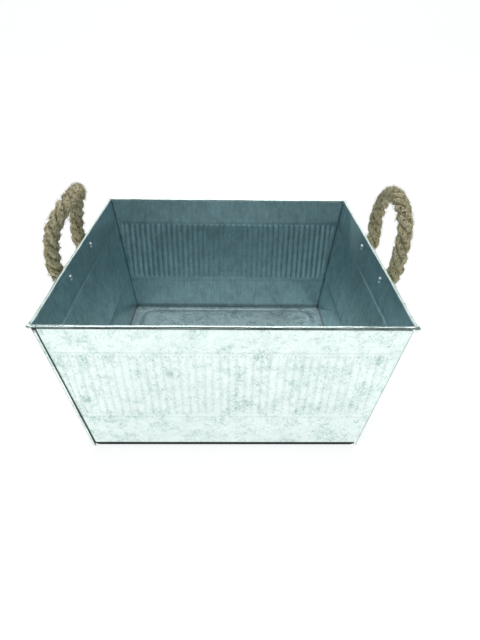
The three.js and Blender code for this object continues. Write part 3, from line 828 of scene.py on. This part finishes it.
            # stay within the rope's own room
            gone = pt - line[min(max(i + int(np.dot(pt - line[i], t[i]) / 0.7), 0), len(s) - 1)]
            if np.linalg.norm(gone) > 8.4:
                pt = pt - gone * (1 - 8.4 / np.linalg.norm(gone))
        for q in range(steps - 1):
            for a in range(3):
                k = (a + 1) % 3
                faces.append((ringbase + q * 3 + a, ringbase + q * 3 + k, ringbase + (q + 1) * 3 + k, ringbase + (q + 1) * 3 + a))
        faces.append((ringbase + 2, ringbase + 1, ringbase))
        last = ringbase + (steps - 1) * 3
        faces.append((last, last + 1, last + 2))
    v = np.array(verts)
    carried = splay(v[:, 0], v[:, 1], np.clip(v[:, 2], 0.0, 126.0)) - v[:, 0]
    v[:, 0] += carried * (1.0 - smoothstep((v[:, 2] - 128.0) / 24.0))
    v = v * MM
    me = bpy.data.meshes.new(name)
    me.from_pydata([tuple(p) for p in v], [], faces)
    att = me.attributes.new("shade_and_tuft_tone", "FLOAT", "POINT")
    att.data.foreach_set("value", np.array(shade, np.float32))
    layer = me.uv_layers.new(name="yarn")
    loop_vert = np.zeros(len(me.loops), np.int32)
    me.loops.foreach_get("vertex_index", loop_vert)
    layer.data.foreach_set("uv", np.array(uv, np.float32)[loop_vert].reshape(-1))
    for p in me.polygons:
        p.use_smooth = True
    o = bpy.data.objects.new(name, me)
    scene.collection.objects.link(o)
    return o, line * MM


# ---------------------------------------------------------------- materials
def new_material(name):
    m = bpy.data.materials.new(name)
    m.use_nodes = True
    nt = m.node_tree
    for n in list(nt.nodes):
        nt.nodes.remove(n)
    out = nt.nodes.new("ShaderNodeOutputMaterial")
    bsdf = nt.nodes.new("ShaderNodeBsdfPrincipled")
    nt.links.new(bsdf.outputs["BSDF"], out.inputs["Surface"])
    return m, nt, bsdf


def node(nt, kind, **sets):
    n = nt.nodes.new(kind)
    for k, v in sets.items():
        if k.startswith("in_"):
            n.inputs[k[3:].replace("_", " ")].default_value = v
        else:
            setattr(n, k, v)
    return n


def ramp(nt, source, stops):
    n = nt.nodes.new("ShaderNodeValToRGB")
    e = n.color_ramp.elements
    while len(e) < len(stops):
        e.new(0.5)
    for k, (pos, col) in enumerate(stops):
        e[k].position = pos
        e[k].color = (*col, 1) if len(col) == 3 else col
    nt.links.new(source, n.inputs["Fac"])
    return n


def mix_color(nt, fac, a, b, blend="MIX"):
    n = nt.nodes.new("ShaderNodeMix")
    n.data_type = "RGBA"
    n.blend_type = blend
    for value, socket in ((fac, n.inputs[0]), (a, n.inputs[6]), (b, n.inputs[7])):
        if hasattr(value, "is_output"):
            nt.links.new(value, socket)
        elif isinstance(value, (int, float)):
            socket.default_value = value
        else:
            socket.default_value = (*value, 1)
    return n.outputs[2]


def math_node(nt, op, a, b=None, c=None):
    n = nt.nodes.new("ShaderNodeMath")
    n.operation = op
    for k, v in enumerate((a, b, c)):
        if v is None:
            continue
        if hasattr(v, "is_output"):
            nt.links.new(v, n.inputs[k])
        else:
            n.inputs[k].default_value = v
    return n.outputs[0]


def galvanised(name, dark, light, inner=None, rough=(0.16, 0.36), bump=0.10, seed=0.0, metallic=1.0, contrast=1.0, with_painted_shade=True):
    """Hot-dip zinc: feathery spangles that differ in tone and gloss, a fine frosted grain, soft stains. Inside faces
    are duller, streaked up and down and given a darker, bluer copy of the colour as painted shade, with a painted
    highlight from a vertex attribute; another vertex attribute darkens crevices with painted shade."""
    m, nt, bsdf = new_material(name)
    tc = node(nt, "ShaderNodeTexCoord")
    mp = node(nt, "ShaderNodeMapping")
    mp.inputs["Location"].default_value = (seed, seed * 1.7, seed * 0.6)
    nt.links.new(tc.outputs["Object"], mp.inputs["Vector"])
    warp = node(nt, "ShaderNodeTexNoise", in_Scale=150.0, in_Detail=5.0, in_Roughness=0.68)
    nt.links.new(mp.outputs["Vector"], warp.inputs["Vector"])
    off = node(nt, "ShaderNodeVectorMath", operation="MULTIPLY_ADD")
    nt.links.new(warp.outputs["Color"], off.inputs[0])
    off.inputs[1].default_value = (0.013, 0.013, 0.013)
    nt.links.new(mp.outputs["Vector"], off.inputs[2])

    def cells(scale, vector):
        v = node(nt, "ShaderNodeTexVoronoi", in_Scale=scale, in_Randomness=1.0)
        nt.links.new(vector, v.inputs["Vector"])
        q = node(nt, "ShaderNodeSeparateColor")
        nt.links.new(v.outputs["Color"], q.inputs["Color"])
        return q

    def cloud(scale, detail, roughness, distortion=0.0, vector=None):
        v = node(nt, "ShaderNodeTexNoise", in_Scale=scale, in_Detail=detail, in_Roughness=roughness, in_Distortion=distortion)
        nt.links.new(vector or mp.outputs["Vector"], v.inputs["Vector"])
        return v.outputs["Fac"]

    tone = cells(115.0, off.outputs["Vector"])
    flake = cells(330.0, off.outputs["Vector"])
    grain = cells(900.0, mp.outputs["Vector"])
    fine = cloud(1100.0, 3.0, 0.7)
    soft = cloud(68.0, 4.0, 0.60, 0.6)
    stain = cloud(15.0, 4.0, 0.6, 0.6)
    total = math_node(nt, "MULTIPLY", tone.outputs[0], 0.14)
    total = math_node(nt, "ADD", total, math_node(nt, "MULTIPLY", flake.outputs[1], 0.20))
    total = math_node(nt, "ADD", total, math_node(nt, "MULTIPLY", grain.outputs[2], 0.18))
    total = math_node(nt, "ADD", total, math_node(nt, "MULTIPLY", fine, 0.32))
    total = math_node(nt, "ADD", total, math_node(nt, "MULTIPLY", soft, 0.62))
    lo, hi = 0.70 - 0.22 / contrast, 0.70 + 0.16 / contrast
    mid = tuple(0.35 * d + 0.65 * l for d, l in zip(dark, light))
    # ramp positions must stay between 0 and 1, so the total, about 0.4 to 1.1, is shifted down first
    shifted = math_node(nt, "SUBTRACT", total, 0.25)
    col = ramp(nt, shifted, [(max(lo - 0.25, 0.0), dark), (lo + 0.45 * (hi - lo) - 0.25, mid), (min(hi - 0.25, 1.0), light)]).outputs["Color"]
    # sparse dark flecks
    fleck = ramp(nt, cloud(420.0, 2.0, 0.5), [(0.66, (0, 0, 0)), (0.74, (1, 1, 1))]).outputs["Color"]
    col = mix_color(nt, math_node(nt, "MULTIPLY", fleck, 0.5), col, tuple(0.78 * d for d in dark))
    blot = ramp(nt, stain, [(0.38, (1, 1, 1)), (0.62, (0, 0, 0))]).outputs["Color"]
    col = mix_color(nt, math_node(nt, "MULTIPLY", blot, 0.30), col, mid)
    if inner:
        # inside faces get their own darker, bluer copy of the zinc colour: painted shade for the bucket's inside, with
        # up-and-down streaks
        streak_map = node(nt, "ShaderNodeMapping")
        streak_map.inputs["Scale"].default_value = (1.0, 1.0, 0.06)
        nt.links.new(tc.outputs["Object"], streak_map.inputs["Vector"])
        streak = cloud(520.0, 3.0, 0.6, 0.0, streak_map.outputs["Vector"])
        inv = math_node(nt, "ADD", math_node(nt, "MULTIPLY", streak, 0.55), math_node(nt, "MULTIPLY", soft, 0.55))
        inv = math_node(nt, "ADD", inv, math_node(nt, "MULTIPLY", flake.outputs[1], 0.12))
        icol = ramp(nt, inv, [(0.44, tuple(0.74 * c for c in inner)), (0.76, tuple(1.08 * c for c in inner))]).outputs["Color"]
        icol = mix_color(nt, math_node(nt, "MULTIPLY", fleck, 0.60), icol, tuple(0.62 * c for c in inner))
        # painted highlight: the marked patch on the right wall is mixed towards near white
        painted_highlight = node(nt, "ShaderNodeAttribute", attribute_name="painted_highlight")
        icol = mix_color(nt, math_node(nt, "MULTIPLY", painted_highlight.outputs["Fac"], 0.85), icol, (0.93, 1.0, 1.0))
        face = node(nt, "ShaderNodeAttribute", attribute_name="inside")
        col = mix_color(nt, face.outputs["Fac"], col, icol)
    if with_painted_shade:
        # painted shade: the vertex attribute from the walls darkens the zinc towards near black
        shade_attr = node(nt, "ShaderNodeAttribute", attribute_name="painted_shade")
        uneven = math_node(nt, "ADD", math_node(nt, "MULTIPLY", fine, 0.5), 0.75)
        amount = math_node(nt, "MULTIPLY", shade_attr.outputs["Fac"], uneven)
        amount_node = amount.node
        amount_node.use_clamp = True
        col = mix_color(nt, amount, col, (0.012, 0.022, 0.022))
    nt.links.new(col, bsdf.inputs["Base Color"])
    rr = node(nt, "ShaderNodeMapRange")
    rr.inputs["To Min"].default_value, rr.inputs["To Max"].default_value = rough
    mixed = math_node(nt, "ADD", math_node(nt, "MULTIPLY", tone.outputs[1], 0.6), math_node(nt, "MULTIPLY", stain, 0.4))
    if inner:
        calm = math_node(nt, "MULTIPLY", face.outputs["Fac"], 0.85)
        keep = math_node(nt, "SUBTRACT", 1.0, calm)
        mixed = math_node(nt, "ADD", math_node(nt, "MULTIPLY", mixed, keep), math_node(nt, "MULTIPLY", calm, 0.95))
    nt.links.new(mixed, rr.inputs["Value"])
    nt.links.new(rr.outputs["Result"], bsdf.inputs["Roughness"])
    bsdf.inputs["Metallic"].default_value = metallic
    bm = node(nt, "ShaderNodeBump", in_Strength=bump, in_Distance=0.0006)
    hh = math_node(nt, "ADD", cloud(170.0, 3.0, 0.5), math_node(nt, "MULTIPLY", fine, 0.22))
    hh = math_node(nt, "ADD", hh, math_node(nt, "MULTIPLY", flake.outputs[2], 0.05))
    nt.links.new(hh, bm.inputs["Height"])
    nt.links.new(bm.outputs["Normal"], bsdf.inputs["Normal"])
    return m


def jute(name):
    m, nt, bsdf = new_material(name)
    uv = node(nt, "ShaderNodeUVMap", uv_map="yarn")

    def along(sx, sy, scale, detail, roughness):
        mp = node(nt, "ShaderNodeMapping")
        mp.inputs["Scale"].default_value = (sx, sy, 1.0)
        nt.links.new(uv.outputs["UV"], mp.inputs["Vector"])
        n = node(nt, "ShaderNodeTexNoise", in_Scale=scale, in_Detail=detail, in_Roughness=roughness)
        nt.links.new(mp.outputs["Vector"], n.inputs["Vector"])
        return n.outputs["Fac"]

    fibres = along(1.2, 7.0, 3.0, 6.0, 0.7)
    tufts = along(3.0, 1.6, 2.2, 5.0, 0.72)
    tc = node(nt, "ShaderNodeTexCoord")
    blot = node(nt, "ShaderNodeTexNoise", in_Scale=130.0, in_Detail=4.0, in_Roughness=0.6)
    nt.links.new(tc.outputs["Object"], blot.inputs["Vector"])
    shade_and_tuft_tone = node(nt, "ShaderNodeAttribute", attribute_name="shade_and_tuft_tone")
    value = math_node(nt, "ADD", math_node(nt, "MULTIPLY", fibres, 0.45), math_node(nt, "MULTIPLY", tufts, 0.55))
    base = ramp(nt, value, [(0.38, (0.17, 0.130, 0.066)), (0.46, (0.60, 0.52, 0.32)), (0.52, (1.0, 0.91, 0.62)), (0.58, (1.0, 0.98, 0.80))])
    aged = mix_color(nt, math_node(nt, "MULTIPLY", blot.outputs["Fac"], 0.20), base.outputs["Color"], (0.58, 0.52, 0.31), "MIX")
    patch = node(nt, "ShaderNodeTexNoise", in_Scale=360.0, in_Detail=4.0, in_Roughness=0.72, in_Distortion=0.8)
    nt.links.new(tc.outputs["Object"], patch.inputs["Vector"])
    mottle = ramp(nt, patch.outputs["Fac"], [(0.37, (0.12, 0.095, 0.06)), (0.46, (0.74, 0.70, 0.60)), (0.55, (1.0, 1.0, 1.0))])
    aged = mix_color(nt, 1.0, aged, mottle.outputs["Color"], "MULTIPLY")
    # the attribute mixes in a dark brown: painted shade between strands and yarns, and random darker tone on loose
    # fibres
    deep = mix_color(nt, shade_and_tuft_tone.outputs["Fac"], (0.17, 0.140, 0.075), aged, "MIX")
    nt.links.new(deep, bsdf.inputs["Base Color"])
    bsdf.inputs["Roughness"].default_value = 0.88
    bsdf.inputs["Specular IOR Level"].default_value = 0.25
    bsdf.inputs["Sheen Weight"].default_value = 0.10
    bsdf.inputs["Sheen Roughness"].default_value = 0.5
    bm = node(nt, "ShaderNodeBump", in_Strength=0.8, in_Distance=0.0006)
    nt.links.new(value, bm.inputs["Height"])
    nt.links.new(bm.outputs["Normal"], bsdf.inputs["Normal"])
    return m


def hem_painted_shade(name):
    """The turned-down hem under the walls, coloured nearly black as painted shade."""
    m, nt, bsdf = new_material(name)
    tc = node(nt, "ShaderNodeTexCoord")
    n = node(nt, "ShaderNodeTexNoise", in_Scale=240.0, in_Detail=4.0, in_Roughness=0.6)
    nt.links.new(tc.outputs["Object"], n.inputs["Vector"])
    c = ramp(nt, n.outputs["Fac"], [(0.35, (0.006, 0.010, 0.011)), (0.68, (0.040, 0.052, 0.054))])
    nt.links.new(c.outputs["Color"], bsdf.inputs["Base Color"])
    bsdf.inputs["Metallic"].default_value = 0.25
    bsdf.inputs["Roughness"].default_value = 0.62
    bm = node(nt, "ShaderNodeBump", in_Strength=0.25, in_Distance=0.0004)
    nt.links.new(n.outputs["Fac"], bm.inputs["Height"])
    nt.links.new(bm.outputs["Normal"], bsdf.inputs["Normal"])
    return m


GALV_A = galvanised("galvanised_outer", (0.44, 0.60, 0.55), (0.88, 0.98, 0.95), inner=(0.570, 0.722, 0.752), rough=(0.16, 0.34), seed=0.0)
GALV_BASE = galvanised("galvanised_base", (0.36, 0.48, 0.48), (0.78, 0.91, 0.93), rough=(0.24, 0.44), seed=3.1, metallic=0.72, contrast=1.5, with_painted_shade=False)
PLATED = galvanised("zinc_plated", (0.42, 0.46, 0.47), (0.66, 0.70, 0.71), rough=(0.25, 0.42), bump=0.05, seed=5.7, with_painted_shade=False)
BRIGHT = galvanised("rivet_bright", (0.72, 0.75, 0.76), (0.95, 0.97, 0.97), rough=(0.20, 0.34), bump=0.05, seed=7.3, with_painted_shade=False)
WIRE = galvanised("rim_wire_steel", (0.20, 0.22, 0.23), (0.36, 0.39, 0.40), rough=(0.35, 0.5), bump=0.03, seed=9.9, with_painted_shade=False)
HEM_SHADE = hem_painted_shade("hem_painted_shade")
JUTE = jute("jute_rope")


def finish_piece(o, material, body, replaced):
    o.data.materials.clear()
    o.data.materials.append(material)
    if body:
        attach(o, body)
    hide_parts(*replaced)


# ---------------------------------------------------------------- assembly
sheet_a = wall_sheet("wall_sheet_front_right_skin", 3, False)
finish_piece(sheet_a, GALV_A, "bucket", ["wall_sheet_front_right"])
sheet_b = wall_sheet("wall_sheet_rear_left_skin", 8, True)
finish_piece(sheet_b, GALV_A, "bucket", ["wall_sheet_rear_left"])
base = base_pan("base_pan_skin")
finish_piece(base, GALV_BASE, "bucket", ["base_pan"])
# the hem faces under the walls get the near-black painted shade material
base.data.materials.append(HEM_SHADE)
for poly in base.data.polygons:
    cx, cy, cz = (c / MM for c in poly.center)
    if max(abs(cx), abs(cy)) > 108.3 and cz < 2.62 and poly.normal.z < 0.9:
        poly.material_index = 1
wire = rim_wire("rim_wire_skin")
finish_piece(wire, WIRE, "bucket", ["rim_wire"])
seed = 20
for side, word in ((-1, "left"), (1, "right")):
    for y, leg in zip(LEG_Y, ("front", "rear")):
        o = rope_socket(f"socket_{word}_{leg}", side, y, seed)
        spread(o)
        finish_piece(o, PLATED, "bucket", [f"rope_socket_{word}_{leg}"])
        o = rivet(f"rivet_{word}_{leg}", side, y, seed + 1)
        spread(o)
        finish_piece(o, BRIGHT, "bucket", [f"socket_rivet_{word}_{leg}"])
        seed += 2
    o, path = rope(f"rope_{word}", word, 40 + side)
    finish_piece(o, JUTE, None, [f"rope_handle_{word}", f"rope_end_{word}_front", f"rope_end_{word}_rear"])
    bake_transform(o)


# ---------------------------------------------------------------- stage and light
def stage():
    rows = []
    prof = [(-2.2, 0.0)] + [(y, 0.0) for y in np.linspace(-1.5, 1.6, 8)]
    prof += [(1.6 + 0.8 * math.sin(a), 0.8 - 0.8 * math.cos(a)) for a in np.linspace(0.15, math.pi / 2, 10)]
    prof += [(2.4, z) for z in (1.2, 1.8, 2.6)]
    for y, z in prof:
        rows.append([(x, y, z) for x in np.linspace(-3.2, 3.2, 9)])
    verts = [p for r_ in rows for p in r_]
    faces = []
    c = 9
    for i in range(len(rows) - 1):
        for j in range(c - 1):
            faces.append((i * c + j, i * c + j + 1, (i + 1) * c + j + 1, (i + 1) * c + j))
    me = bpy.data.meshes.new("floor")
    me.from_pydata(verts, [], faces)
    for p in me.polygons:
        p.use_smooth = True
    o = bpy.data.objects.new("floor", me)
    scene.collection.objects.link(o)
    m, nt, bsdf = new_material("studio_white")
    bsdf.inputs["Base Color"].default_value = (0.40, 0.405, 0.405, 1)
    bsdf.inputs["Roughness"].default_value = 0.8
    bsdf.inputs["Emission Color"].default_value = (1.0, 1.0, 1.0, 1)
    bsdf.inputs["Emission Strength"].default_value = 0.82
    me.materials.append(m)


def area(name, loc, target, size, power, color=(1, 1, 1)):
    data = bpy.data.lights.new(name, "AREA")
    data.shape = "RECTANGLE"
    data.size, data.size_y = size
    data.energy = power
    data.color = color
    o = bpy.data.objects.new(name, data)
    scene.collection.objects.link(o)
    o.location = loc
    d = Vector(target) - Vector(loc)
    o.rotation_euler = d.to_track_quat("-Z", "Y").to_euler()
    return o


stage()
area("overhead", (0.0, 0.05, 1.7), (0, 0, 0.05), (1.2, 1.2), 12.5)
area("key", (-0.9, -0.9, 1.5), (0, 0, 0.05), (0.8, 0.8), 5.0)
area("fill", (1.3, -0.5, 1.2), (0, 0, 0.1), (1.0, 1.0), 2.0)
world = bpy.data.worlds.new("studio")
scene.world = world
world.use_nodes = True
world.node_tree.nodes["Background"].inputs["Color"].default_value = (0.30, 0.50, 0.55, 1)
world.node_tree.nodes["Background"].inputs["Strength"].default_value = 0.20
scene.view_settings.view_transform = "Standard"
